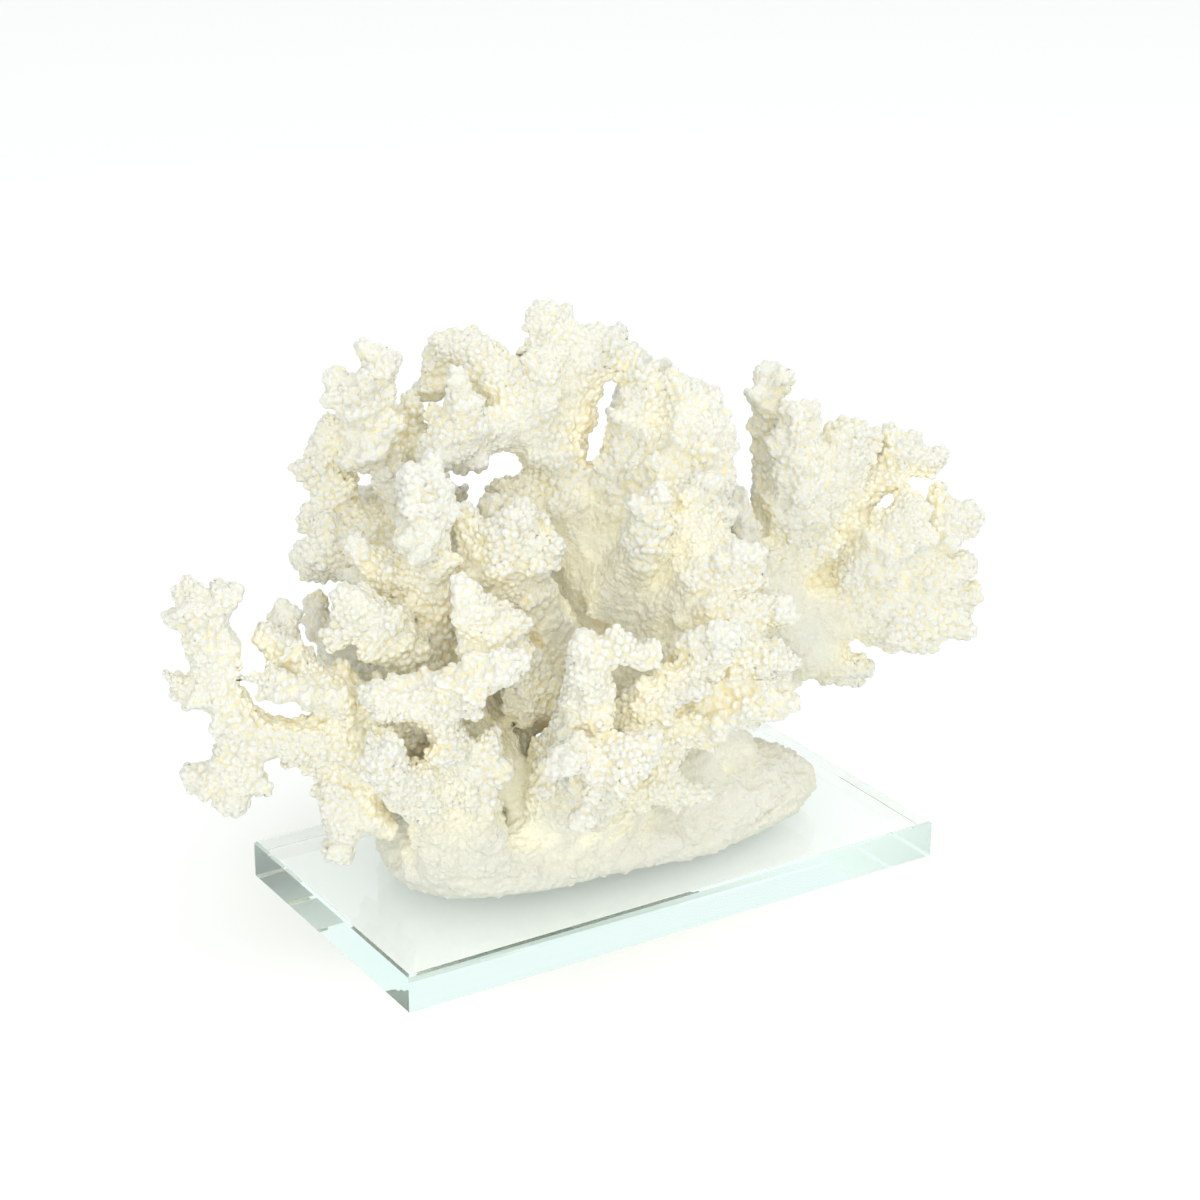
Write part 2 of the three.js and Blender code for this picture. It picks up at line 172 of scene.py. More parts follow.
# %% Smooth without thinning
ROUNDING_PASSES = 22


def edge_ends(mesh):
    """The two point numbers of every edge."""
    return vectors(mesh.edges, "vertices", 2, np.int32).T


def averaged(values, ends, times, share=0.6):
    """Each row moved by a share towards the mean of its neighbours' rows, as often as `times`."""
    a, b = ends
    size = len(values)
    neighbours = np.bincount(a, minlength=size) + np.bincount(b, minlength=size)
    for _ in range(times):
        sums = [np.bincount(a, column[b], size) + np.bincount(b, column[a], size)
                for column in values.T]
        values = values + share * (np.stack(sums, 1) / neighbours[:, None] - values)
    return values


def rounded(points, ends, times):
    """Averaged points plus the averaged loss, so that only what is finer than the averaging goes."""
    soft = averaged(points, ends, times)
    return soft + averaged(points - soft, ends, times)


skin_ends = edge_ends(coarse_mesh)
skin = rounded(vectors(coarse_mesh.vertices, "co", 3), skin_ends, ROUNDING_PASSES)
print("the skin is", np.round((skin.max(0) - skin.min(0)) / MM, 1), "mm across")

# %% [markdown]
# ## Which limb does a face belong to?
#
# The skin is divided again later, so every point needs to know its limb. Geometry Nodes can look up
# the nearest solid for all points at once. The votes are then averaged over the skin like the
# points were, which gives clean borders at the forks.

# %% Label the skin with its limbs
VOTE_PASSES = 10


def looked_up(mesh, source, add_search):
    """A whole number for every point of the mesh, found in the source object by Geometry Nodes.

    add_search(tree, geometry) adds the nodes that search the source's geometry and returns their
    output.
    """
    tree = bpy.data.node_groups.new("lookup", "GeometryNodeTree")
    tree.interface.new_socket("Geometry", in_out="INPUT", socket_type="NodeSocketGeometry")
    tree.interface.new_socket("Geometry", in_out="OUTPUT", socket_type="NodeSocketGeometry")
    entry, leave = tree.nodes.new("NodeGroupInput"), tree.nodes.new("NodeGroupOutput")
    other = tree.nodes.new("GeometryNodeObjectInfo")
    other.inputs["Object"].default_value = source
    store = tree.nodes.new("GeometryNodeStoreNamedAttribute")
    store.data_type = "INT"
    store.domain = "POINT"
    store.inputs["Name"].default_value = "found"
    tree.links.new(add_search(tree, other.outputs["Geometry"]), store.inputs["Value"])
    tree.links.new(entry.outputs["Geometry"], store.inputs["Geometry"])
    tree.links.new(store.outputs["Geometry"], leave.inputs["Geometry"])
    probe = put_in_scene("probe", mesh)
    probe.modifiers.new("lookup", "NODES").node_group = tree
    answer_mesh = finished_mesh(probe)
    answer = vectors(answer_mesh.attributes["found"].data, "value", 1, np.int32)
    bpy.data.objects.remove(probe)
    bpy.data.node_groups.remove(tree)
    bpy.data.meshes.remove(answer_mesh)
    return answer


def nearest_limb(tree, geometry):
    """The `limb` number of the nearest face."""
    limb = tree.nodes.new("GeometryNodeInputNamedAttribute")
    limb.data_type = "INT"
    limb.inputs["Name"].default_value = "limb"
    search = tree.nodes.new("GeometryNodeSampleNearestSurface")
    search.data_type = "INT"
    tree.links.new(geometry, search.inputs["Mesh"])
    tree.links.new(limb.outputs["Attribute"], search.inputs["Value"])
    return search.outputs["Value"]


coarse_faces = vectors(coarse_mesh.loops, "vertex_index", 1, np.int32).reshape(-1, 4)
limb_of_point = looked_up(coarse_mesh, solids, nearest_limb)
votes = averaged(np.eye(len(limb_names))[limb_of_point], skin_ends, VOTE_PASSES)
limb_of_face = sum(votes[coarse_faces[:, k]] for k in range(4)).argmax(1)
faces_in_limb = np.bincount(limb_of_face)
print("faces in each limb:", faces_in_limb.min(), "to", faces_in_limb.max())


# %% [markdown]
# ## Uneven growth
#
# No limb of a real colony is a clean rod: it swells, flattens and gets knuckles where it forked.
# Smooth random numbers in space give that unevenness. They are worked out here, and not with a
# displacement texture, because the knobs and the colours later need the very same surface.

# %% Smooth random numbers in space
def lattice_value(cells, seed):
    """A random number from -1 to 1 for each cell: its whole place, mixed by large odd factors."""
    x, y, z = (cells[:, k].astype(np.uint64) for k in range(3))
    mixed = x * np.uint64(0x9E3779B97F4A7C15) ^ y * np.uint64(0xC2B2AE3D27D4EB4F)
    mixed ^= z * np.uint64(0x165667B19E3779F9) ^ np.uint64(seed * 0x27D4EB2F165667C5 % 2**64)
    mixed ^= mixed >> np.uint64(29)
    mixed *= np.uint64(0xBF58476D1CE4E5B9)
    mixed ^= mixed >> np.uint64(32)
    return (mixed & np.uint64(0xFFFFFF)).astype(np.float64) / 0x7FFFFF - 1.0


LATTICE_TURN = np.array(Euler((0.6, 1.1, 0.4)).to_matrix())
LATTICE_SHIFT = 1000.0


def unevenness(points, wavelength, seed):
    """Value noise: the random numbers at the eight corners of a turned lattice's cell, blended.

    With the place t inside the cell from 0 to 1 along each axis, the blend is t * t * (3 - 2 t).
    """
    place = points @ LATTICE_TURN / wavelength + LATTICE_SHIFT
    cells = np.floor(place).astype(np.int64)
    blend = place - cells
    blend = blend * blend * (3.0 - 2.0 * blend)
    ways = (1.0 - blend, blend)
    total = np.zeros(len(points))
    for i, j, k in np.ndindex(2, 2, 2):
        weight = ways[i][:, 0] * ways[j][:, 1] * ways[k][:, 2]
        total += weight * lattice_value(cells + np.array((i, j, k)), seed)
    return total


def set_points(mesh, points):
    """Moves the mesh's points and lets Blender work out its normals again."""
    mesh.vertices.foreach_set("co", points.astype(np.float32).ravel())
    mesh.update()


def normals_of(mesh):
    """The outward direction at every point."""
    return vectors(mesh.vertex_normals, "vector", 3)


# %% [markdown]
# The foot stays calm, and so do the parts of the trunks that the animals left early, low down and in
# the middle. They could be picked limb by limb, but the border crosses the limbs. So it is found
# from the place alone: inside a few balls, and low over the foot. The number `bare` is 1 on such
# skin and 0 where the living colony grew.

# %% Bare and overgrown skin
BARE_PLACES = [
    # centre and radius in mm: the trunk below the crown, the stem of the right-hand limbs, the roots
    ((4, -6, 88), 31),
    ((66, -6, 68), 20),
    ((-6, 0, 44), 34),
    ((30, -10, 40), 26),
    ((-40, -2, 44), 22),
]
BARE_EDGE = 14 * MM
BORDER_WANDER = 7 * MM
FOOT_MIDDLE = (-2, -4)  # mm
FOOT_REACH = (82, 46)  # mm
CRUST_TOP = (24 * MM, 40 * MM)  # the crust ends between these heights above the slab
SKIN_FLOOR = slab_high[2] + 0.15 * MM


def step(low, high, values):
    """0 below low, 1 above high and 3 t^2 - 2 t^3 between, t being the share of the way up."""
    share = np.clip((values - low) / (high - low), 0.0, 1.0)
    return share * share * (3.0 - 2.0 * share)


def bareness(points):
    """1 near the middles of the bare places and on the foot, 0 further out, the border uneven."""
    wander = BORDER_WANDER * unevenness(points, 16 * MM, 5)
    in_plan = (points[:, :2] - np.array(FOOT_MIDDLE) * MM) / (np.array(FOOT_REACH) * MM)
    low = 1.0 - step(*CRUST_TOP, points[:, 2] - slab_high[2] + wander * 0.6)
    bare = low * (1.0 - step(0.85, 1.15, np.linalg.norm(in_plan, axis=1)))
    for centre, radius in BARE_PLACES:
        away = np.linalg.norm(points - np.array(centre) * MM, axis=1) + wander
        bare = np.maximum(bare, 1.0 - step(radius * MM - BARE_EDGE, radius * MM + BARE_EDGE, away))
    return bare


set_points(coarse_mesh, skin)
coarse_calm = averaged(normals_of(coarse_mesh), skin_ends, 6)
bare = bareness(skin)
swelling = 1.3 * unevenness(skin, 17 * MM, 1) + 1.0 * unevenness(skin, 9 * MM, 2)
skin = skin + normals_of(coarse_mesh) * (swelling * (1.0 - 0.75 * bare) * MM)[:, None]
skin[:, 2] = np.maximum(skin[:, 2], SKIN_FLOOR)
set_points(coarse_mesh, skin)
print("share of bare skin:", round(float(bare.mean()), 2))

# %% [markdown]
# ## An even but random pattern
#
# The coral is domes on domes: lobes as thick as a pencil, and on them knobs smaller than a
# peppercorn. Both sit in a close and fairly even pattern, like bubbles pushed together.
# A grid would look stamped and random places would clump. So seeds start at random points of the
# skin, and every seed then moves a few times to the middle of the points that are nearest to it.

# %% Spread seeds over the skin
HEXAGON_AREA = 0.866  # of a hexagon that is one unit wide
FAR_AWAY = 9.0  # metres: farther than anything here


def nearest_point(tree, geometry):
    """The number of the nearest point."""
    search = tree.nodes.new("GeometryNodeSampleNearest")
    search.domain = "POINT"
    tree.links.new(geometry, search.inputs["Geometry"])
    return search.outputs["Index"]


def nearest_seed(mesh, seeds):
    """The number of the seed nearest to every point of the mesh."""
    holder = put_in_scene("seeds", build_mesh("seeds", seeds, np.empty(0), np.empty(0, np.int64)))
    owner = looked_up(mesh, holder, nearest_point)
    bpy.data.objects.remove(holder)
    return owner


def group_means(points, group, size):
    """The mean of the points in each group."""
    count = np.maximum(np.bincount(group, minlength=size), 1)
    return np.stack([np.bincount(group, column, size) for column in points.T], 1) / count[:, None]


def spread_seeds(mesh, points, pitch, passes, seed):
    """Seeds about one pitch apart: one for each hexagon's worth of skin, evened out in passes."""
    area = vectors(mesh.polygons, "area", 1).sum()
    count = int(area / (HEXAGON_AREA * pitch**2))
    seeds = points[np.random.default_rng(seed).choice(len(points), count, replace=False)]
    for _ in range(passes):
        owner = nearest_seed(mesh, seeds)
        seeds = group_means(points, owner, len(seeds))[np.bincount(owner, minlength=len(seeds)) > 0]
    return seeds


def touching_seeds(owner, ends, size, width=10):
    """For each seed, those whose skin meets its own: the two owners of every edge that crosses."""
    a, b = owner[ends[0]], owner[ends[1]]
    pairs = np.stack([a, b], 1)[a != b]
    pairs = np.unique(np.concatenate([pairs, pairs[:, ::-1]]), axis=0)
    rank = np.arange(len(pairs)) - np.searchsorted(pairs[:, 0], pairs[:, 0])
    pairs, rank = pairs[rank < width], rank[rank < width]
    table = np.tile(np.arange(size)[:, None], (1, width))
    table[pairs[:, 0], rank] = pairs[:, 1]
    return table


def domes(mesh, points, ends, seeds, most_reach):
    """A round dome on every seed, 1 at its top and 0 where two meet, and every point's seed number.

    The height is sqrt(1 - (d / r)^2), where d is the distance to the seed, and r is the mean of d
    and the distance to the next nearest seed, but at most most_reach.
    """
    owner = nearest_seed(mesh, seeds)
    first = np.linalg.norm(points - seeds[owner], axis=1)
    second = np.full(len(points), FAR_AWAY)
    for column in touching_seeds(owner, ends, len(seeds)).T:
        other = column[owner]
        distance = np.linalg.norm(points - seeds[other], axis=1)
        second = np.where(other != owner, np.minimum(second, distance), second)
    reach = np.minimum(0.5 * (first + second), most_reach)
    return np.sqrt(np.clip(1.0 - (first / reach) ** 2, 0.0, 1.0)), owner


# %% [markdown]
# The lobes come first. They stand out where the colony grew freely, lean outwards and up from its
# middle, and are uneven in height. Some grow on into short stubs as thick as a pencil, which gives
# the limbs their ragged ends. In a narrow fork the skin can fold over itself when it is pushed out.
# Such points are found by their turned normals and averaged with their neighbours.

# %% Raise the lobes
LOBE_PITCH = 7.0 * MM
LOBE_RADIUS = 0.6 * LOBE_PITCH
LOBE_HEIGHT = 3.0 * MM
LOBE_LEAN = 0.5
STUB_PITCH = 11.0 * MM
STUB_RADIUS = 4.4 * MM
STUB_HEIGHT = 6.0 * MM
STUB_LEAN = 0.7
COLONY_HEART = np.array((0.0, 0.0, 30 * MM))
FOLDED_BELOW = 0.1  # the cosine of the turn from the calm direction
FOLD_SPREAD = 3  # averaging passes that widen the mark on a fold
FOLD_GAIN = 3.0  # how strongly the widened mark counts
FOLD_EASING = 5  # averaging passes that even the fold out


def leaning(points, outward, share):
    """The outward direction plus a share of the direction away from the colony's heart."""
    away = points - COLONY_HEART
    away /= np.linalg.norm(away, axis=1, keepdims=True)
    lean = outward + share * away
    return lean / np.linalg.norm(lean, axis=1, keepdims=True)


def seed_random(seeds, seed):
    """A random number from -1 to 1 for each seed, by its number."""
    return lattice_value(np.stack([np.arange(len(seeds))] * 3, 1), seed)


def pushed(points, mesh, lift, share):
    """The points moved by the lift along the leaning direction, but not below SKIN_FLOOR."""
    moved = points + leaning(points, normals_of(mesh), share) * lift[:, None]
    moved[:, 2] = np.maximum(moved[:, 2], SKIN_FLOOR)
    set_points(mesh, moved)
    return moved


def unfolded(points, mesh, calm, ends, rounds=3):
    """The points, averaged with their neighbours where the skin turned from its calm direction."""
    for _ in range(rounds):
        folded = (normals_of(mesh) * calm).sum(1) < FOLDED_BELOW
        mark = averaged(folded[:, None].astype(float), ends, FOLD_SPREAD)
        eased = np.clip(FOLD_GAIN * mark, 0.0, 1.0)
        points = points + eased * (averaged(points, ends, FOLD_EASING) - points)
        set_points(mesh, points)
        print("points in folds:", int(folded.sum()))
    return points


stub_seeds = spread_seeds(coarse_mesh, skin, STUB_PITCH, 3, 20)
stub, stub_number = domes(coarse_mesh, skin, skin_ends, stub_seeds, STUB_RADIUS)
stub_size = step(-0.1, 0.7, seed_random(stub_seeds, 5))
stub = averaged((stub * stub_size[stub_number])[:, None], skin_ends, 3)[:, 0]
skin = pushed(skin, coarse_mesh, STUB_HEIGHT * stub * (1.0 - bare), STUB_LEAN)

lobe_seeds = spread_seeds(coarse_mesh, skin, LOBE_PITCH, 4, 21)
lobe, lobe_number = domes(coarse_mesh, skin, skin_ends, lobe_seeds, LOBE_RADIUS)
lobe_size = 0.75 + 0.45 * seed_random(lobe_seeds, 4)
lobe = averaged((lobe * lobe_size[lobe_number])[:, None], skin_ends, 1)[:, 0]
lobe_lift = LOBE_HEIGHT * (lobe - 0.6) * (1.0 - 0.9 * bare)
skin = pushed(skin, coarse_mesh, lobe_lift, LOBE_LEAN)
skin = unfolded(skin, coarse_mesh, coarse_calm, skin_ends)
print(len(stub_seeds), "places for stubs,", len(lobe_seeds), "lobes")

# %% [markdown]
# ## The fine skin and its knobs
#
# A bump map could draw the knobs, but the outline would stay smooth, and here it shows every knob.
# So they are mesh. One level of subdivision halves the spacing of the points to about half a
# millimetre, which is enough for knobs 2.7 mm apart. Each knob is a dome round its seed, pushed
# partly outwards and up like the lobes. Bare skin only has a low wart here and there.

# %% Raise the knobs
KNOB_PITCH = 2.7 * MM
KNOB_RADIUS = 0.56 * KNOB_PITCH
KNOB_HEIGHT = 1.35 * MM
KNOB_LEAN = 0.4

limb_layer = coarse_mesh.attributes.new("limb", "INT", "FACE")
limb_layer.data.foreach_set("value", limb_of_face.astype(np.int32))
calm_layer = coarse_mesh.attributes.new("calm_normal", "FLOAT_VECTOR", "POINT")
coarse_calm = averaged(normals_of(coarse_mesh), skin_ends, 5)
calm_layer.data.foreach_set("vector", coarse_calm.astype(np.float32).ravel())
knob_seeds = spread_seeds(coarse_mesh, skin, KNOB_PITCH, 7, 22)
coarse = put_in_scene("coarse_skin", coarse_mesh)
halve = coarse.modifiers.new("halve", "SUBSURF")
halve.levels = halve.render_levels = 1
fine_mesh = finished_mesh(coarse)
fine = vectors(fine_mesh.vertices, "co", 3)
faces = vectors(fine_mesh.loops, "vertex_index", 1, np.int32).reshape(-1, 4)
fine_ends = edge_ends(fine_mesh)
calm_normal = vectors(fine_mesh.attributes["calm_normal"].data, "vector", 3)
calm_normal /= np.maximum(np.linalg.norm(calm_normal, axis=1, keepdims=True), 1e-6)
print("fine skin:", len(fine), "points,", 2 * len(faces), "triangles,", len(knob_seeds), "knobs")

bare = bareness(fine)
knob, knob_number = domes(fine_mesh, fine, fine_ends, knob_seeds, KNOB_RADIUS)
knob_size = 0.8 + 0.3 * seed_random(knob_seeds, 3) + 0.35 * unevenness(knob_seeds, 11 * MM, 6)
knob_layer = knob * (1.0 - bare)
relief = KNOB_HEIGHT * (knob * knob_size[knob_number] - 0.4) * (1.0 - 0.9 * bare)
wart_size = 0.5 * step(0.0, 0.8, seed_random(knob_seeds, 9))
relief += KNOB_HEIGHT * knob * wart_size[knob_number] * bare
relief += 0.3 * MM * unevenness(fine, 1.5 * MM, 8)

# %% [markdown]
# The old skin is pitted and grainy like mortar, with sugary patches, and the foot is furrowed as
# well. Plain noise would look like soft hills. So its places are shifted by other noise first, and
# its steep parts are made into pits and furrows.

# %% Roughen the bare skin
warp = np.stack([unevenness(fine, 6 * MM, 14 + k) for k in range(3)], 1)
warped = fine + 2.5 * MM * warp
height = fine[:, 2] - slab_high[2]
foot_skin = bare * (1.0 - step(*CRUST_TOP, height))
old_crust = foot_skin * step(3 * MM, 9 * MM, height)
furrow = step(0.68, 0.95, 1.0 - np.abs(unevenness(warped, 10 * MM, 12)))
furrow *= step(-0.3, 0.3, unevenness(fine, 24 * MM, 19))
pit = step(0.15, 0.65, unevenness(warped, 3.6 * MM, 9))
hollow = step(0.25, 0.75, unevenness(warped, 7 * MM, 25))
sugar = step(-0.2, 0.3, unevenness(fine, 20 * MM, 17)) * step(1 * MM, 4 * MM, height)
lumps = unevenness(warped, 13 * MM, 13)
relief += bare * MM * (0.35 * unevenness(fine, 3.4 * MM, 7) - 0.3 * pit)
relief += foot_skin * MM * sugar * 1.1 * (np.abs(unevenness(fine, 2.0 * MM, 18)) - 0.3)
relief += foot_skin * MM * 1.6 * unevenness(fine, 22 * MM, 23)
relief += old_crust * MM * (1.3 * lumps - 2.2 * furrow - 1.8 * hollow - 0.6 * pit)
fine = pushed(fine, fine_mesh, relief, KNOB_LEAN)
fine = unfolded(fine, fine_mesh, calm_normal, fine_ends)
print("relief from", np.round(relief.min() / MM, 2), "to", np.round(relief.max() / MM, 2), "mm")

# %% [markdown]
# ## What the colour needs to know
#
# The gaps between knobs and the skin deep inside the colony are painted a yellower cream: partly
# dust and old tissue, partly painted shade. Deep inside, the skin is also painted brighter, as
# painted bounce light. The open tips are bleached white. Four numbers per point tell the material
# about it: `knob`, how high on a knob the point is; `shelter`, how much other skin is close in
# front of it; `tip`, how little skin there is round it; and `bare`. Rays from every point could
# measure shelter. Counting the points of the skin in the cells of a grid, and blurring the counts,
# is rougher but does for a colour.

# %% Measure shelter and tips
SHELTER_CELL = 4 * MM
SHELTER_AHEAD = 10 * MM
GRID_MARGIN = 8 * SHELTER_CELL
BLUR_PASSES = 3


def blurred(grid, times):
    """A three-cell box average along each axis, repeated."""
    for _ in range(times):
        for axis in range(3):
            grid = (np.roll(grid, 1, axis) + grid + np.roll(grid, -1, axis)) / 3.0
    return grid


def skin_near(points, directions):
    """Skin per cell, blurred, read at each point and at a spot a little in front of it."""
    low = points.min(0) - GRID_MARGIN
    shape = np.ceil((points.max(0) + GRID_MARGIN - low) / SHELTER_CELL).astype(int)

    def cell(places):
        index = ((places - low) / SHELTER_CELL).astype(int)
        return tuple(np.clip(index, 0, shape - 1).T)

    grid = np.zeros(shape)
    np.add.at(grid, cell(points), 1.0)
    grid = blurred(grid, BLUR_PASSES)
    return grid[cell(points)], grid[cell(points + directions * SHELTER_AHEAD)]


outward = normals_of(fine_mesh)
around, ahead = skin_near(fine, outward)
shelter = np.clip(ahead / np.percentile(ahead, 97), 0.0, 1.0)
tip = 1.0 - step(np.percentile(around, 2), np.percentile(around, 20), around)
shelter, tip = averaged(np.stack([shelter, tip], 1), fine_ends, 10).T
print("mean shelter:", round(float(shelter.mean()), 2), "mean tip:", round(float(tip.mean()), 2))

# %% [markdown]
# ## Divide the skin at the forks
#
# Each limb takes its own faces, and the hole at each cut has to be closed inside the coral, where it
# can't be seen. A fan from the ring of the cut to one middle would do for a round stem, but some
# cuts run down a long crooked valley, and a fan would stick out of it. So a wall first goes straight
# inwards, and from there every point moves to the mean of the ring's points near it, a few times.
# That brings the two sides of a long cut together on the line between them.
# The neighbours share the points of the cut and keep the normals of the undivided skin, so no
# joint shows.

# %% Cut and close the pieces
def ring_groups(edges, size):
    """The number of the ring that each point is on: the lowest number spreads along the edges."""
    label = np.arange(size)
    while True:
        lowest = np.minimum(label[edges[:, 0]], label[edges[:, 1]])
        spread = label.copy()
        np.minimum.at(spread, edges[:, 0], lowest)
        np.minimum.at(spread, edges[:, 1], lowest)
        spread = spread[spread]
        if np.array_equal(spread, label):
            return label
        label = spread


CAP_DEPTH = 1.8 * MM
CAP_REACH = 5.0 * MM
CAP_STEP = 3.0 * MM
CAP_PASSES = 6


def moved_together(inner, ring):
    """Each point at the mean of its ring's points, weighted by a bell curve of their distance."""
    own_ring = ring[:, None] == ring[None]
    square = (inner**2).sum(1)
    places = inner
    for _ in range(CAP_PASSES):
        apart = (places**2).sum(1)[:, None] + square[None] - 2.0 * places @ inner.T
        weight = np.where(own_ring, np.exp(-0.5 * apart / CAP_REACH**2), 0.0)
        places = weight @ inner / weight.sum(1, keepdims=True)
    return places


def hubs_of(places, ring):
    """The hub number of each point: the farthest point becomes a hub until all have one near."""
    hub = np.zeros(len(places), np.int64)
    distance = np.full(len(places), FAR_AWAY)
    count = 0
    while len(places) and distance.max() > CAP_STEP:
        pick = distance.argmax()
        apart = np.linalg.norm(places - places[pick], axis=1)
        apart = np.where(ring == ring[pick], apart, FAR_AWAY)
        hub[apart < distance] = count
        distance = np.minimum(distance, apart)
        count += 1
    return hub, count


def cap(inner, start, end):
    """Hubs inside the ring of cut, and triangles from the inner points to them and between them.

    Where the two sides of a cut meet, the hubs' edges cancel out. What is left is closed by fans.
    """
    ring = ring_groups(np.stack([start, end], 1), len(inner))
    places = moved_together(inner, ring)
    hub, count = hubs_of(places, ring)
    first, last = hub[start], hub[end]
    hub_base, open_side = len(inner), first != last
    triangles = [np.stack([end, start, first + hub_base], 1),
                 np.stack([end, first + hub_base, last + hub_base], 1)[open_side]]
    first, last = first[open_side], last[open_side]
    sorted_pairs = np.sort(np.stack([first, last], 1), axis=1)
    pairs, which = np.unique(sorted_pairs, axis=0, return_inverse=True)
    direction = np.where(first < last, 1, -1)
    surplus = np.bincount(which.reshape(-1), direction, len(pairs)).astype(np.int64)
    pairs = np.where((surplus > 0)[:, None], pairs, pairs[:, ::-1]).repeat(np.abs(surplus), axis=0)
    hubs = group_means(places, hub, count)
    groups, group = np.unique(ring_groups(pairs, count)[pairs[:, 0]], return_inverse=True)
    middles = group_means(hubs[pairs[:, 0]], group.reshape(-1), len(groups))
    middle = group.reshape(-1) + hub_base + count
    triangles.append(np.stack([pairs[:, 1] + hub_base, pairs[:, 0] + hub_base, middle], 1))
    return np.concatenate([hubs, middles]), np.concatenate(triangles)


def closed_piece(name, own_faces):
    """A closed mesh of the given faces, with an inward wall and a cap at each ring of a cut."""
    used, corners = np.unique(own_faces, return_inverse=True)
    corners = corners.reshape(-1, 4)
    sides = np.concatenate([corners[:, [k, (k + 1) % 4]] for k in range(4)])
    sorted_sides = np.sort(sides, axis=1)
    _, index, count = np.unique(sorted_sides, axis=0, return_inverse=True, return_counts=True)
    rim = sides[count[index.reshape(-1)] == 1]
    rim_points = np.unique(rim)
    inner = fine[used][rim_points] - CAP_DEPTH * calm_normal[used][rim_points]
    start, end = np.searchsorted(rim_points, rim).T
    hubs, triangles = cap(inner, start, end)
    wall = np.stack([rim[:, 1], rim[:, 0], start + len(used), end + len(used)], 1)
    added = len(inner) + len(hubs)
    corner_points = np.concatenate([corners.ravel(), wall.ravel(), (triangles + len(used)).ravel()])
    sizes = np.concatenate([np.full(len(corners) + len(wall), 4), np.full(len(triangles), 3)])
    mesh = build_mesh(name, np.concatenate([fine[used], inner, hubs]), corner_points, sizes)
    for key, values in (("knob", knob_layer), ("shelter", shelter), ("tip", tip), ("bare", bare)):
        layer = mesh.attributes.new(key, "FLOAT", "POINT")
        padded = np.append(values[used], np.zeros(added))
        layer.data.foreach_set("value", padded.astype(np.float32))
    kept_normals = np.concatenate([outward[used], np.zeros((added, 3))])
    mesh.normals_split_custom_set_from_vertices(kept_normals)
    return mesh


limb_of_fine_face = vectors(fine_mesh.attributes["limb"].data, "value", 1, np.int32)
coral_pieces = {}
for number, name in enumerate(limb_names):
    mesh = closed_piece(name + "_skin", faces[limb_of_fine_face == number])
    piece = put_in_scene(name + "_skin", mesh)
    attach(piece, "root")
    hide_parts(name)
    coral_pieces[name] = piece
for helper in (solids, coarse):
    bpy.data.objects.remove(helper)
triangle_counts = [len(piece.data.loops) - 2 * len(piece.data.polygons)
                   for piece in coral_pieces.values()]
print(len(coral_pieces), "coral pieces, the largest of", max(triangle_counts), "triangles")

# %% [markdown]
# ## The coral's finish
#
# Bare coral skeleton is chalky lime: rough, with no shine, and full of pores too fine to model.
# It could be one pale colour, but then it would look like plaster. Here the colour runs from an
# ochre cream between the knobs and deep inside to a bleached white on their tops, and the pores and
# the grain are bump. The yellower cream in the gaps and hollows is partly painted shade, and the
# hollows are also painted brighter, as painted bounce light.

# %% Coral material
def new_material(name):
    """An empty node material with a Principled shader and its output."""
    material = bpy.data.materials.new(name)
    material.use_nodes = True
    tree = material.node_tree
    tree.nodes.clear()
    shader = tree.nodes.new("ShaderNodeBsdfPrincipled")
    output = tree.nodes.new("ShaderNodeOutputMaterial")
    tree.links.new(shader.outputs["BSDF"], output.inputs["Surface"])
    return material, tree, shader, output


def mix_colour(tree, factor, dark, light):
    """A colour mix of two colours or sockets by a factor socket or number."""
    node = tree.nodes.new("ShaderNodeMix")
    node.data_type = "RGBA"
    for socket, value in (("Factor", factor), ("A", dark), ("B", light)):
        target = next(s for s in node.inputs if s.name == socket and s.enabled)
        if isinstance(value, bpy.types.NodeSocket):
            tree.links.new(value, target)
        else:
            target.default_value = value
    return next(s for s in node.outputs if s.enabled)


def maths(tree, operation, *values, clamp=False):
    """A Math node on sockets or numbers."""
    node = tree.nodes.new("ShaderNodeMath")
    node.operation = operation
    node.use_clamp = clamp
    for socket, value in zip(node.inputs, values):
        if isinstance(value, bpy.types.NodeSocket):
            tree.links.new(value, socket)
        else:
            socket.default_value = value
    return node.outputs[0]


def ramp(tree, value, low, high):
    """The value stretched smoothly so that low becomes 0 and high becomes 1."""
    node = tree.nodes.new("ShaderNodeMapRange")
    node.interpolation_type = "SMOOTHSTEP"
    tree.links.new(value, node.inputs["Value"])
    node.inputs["From Min"].default_value = low
    node.inputs["From Max"].default_value = high
    return node.outputs["Result"]


def layer_value(tree, name):
    """The value of a mesh attribute."""
    node = tree.nodes.new("ShaderNodeAttribute")
    node.attribute_name = name
    return node.outputs["Fac"]


def noise(tree, place, size, detail=3.0):
    """Smooth noise with bumps of about the given size in metres."""
    node = tree.nodes.new("ShaderNodeTexNoise")
    node.inputs["Scale"].default_value = 1.0 / size
    node.inputs["Detail"].default_value = detail
    tree.links.new(place, node.inputs["Vector"])
    return node.outputs["Fac"]


# Painted light in the palette: SHADED_TOP, OCHRE and SHADED_SAND are brighter, yellower colours for
# sheltered skin, painting bounce light and yellow shade into the hollows; CREAM in the knob gaps is
# partly painted crevice shade.
BLEACHED = (0.765, 0.765, 0.72, 1.0)
SHADED_TOP = (0.97, 0.95, 0.82, 1.0)
CREAM = (0.825, 0.78, 0.58, 1.0)
OCHRE = (0.97, 0.88, 0.59, 1.0)
AMBER = (0.88, 0.68, 0.30, 1.0)
SANDY = (0.72, 0.705, 0.615, 1.0)
SHADED_SAND = (0.98, 0.95, 0.78, 1.0)

coral, tree, shader, _ = new_material("coral_skeleton")
place = tree.nodes.new("ShaderNodeTexCoord").outputs["Object"]
knob_top = ramp(tree, layer_value(tree, "knob"), 0.25, 0.85)
sheltered = layer_value(tree, "shelter")
bare_part = layer_value(tree, "bare")
cloud = noise(tree, place, 12 * MM, 4.0)
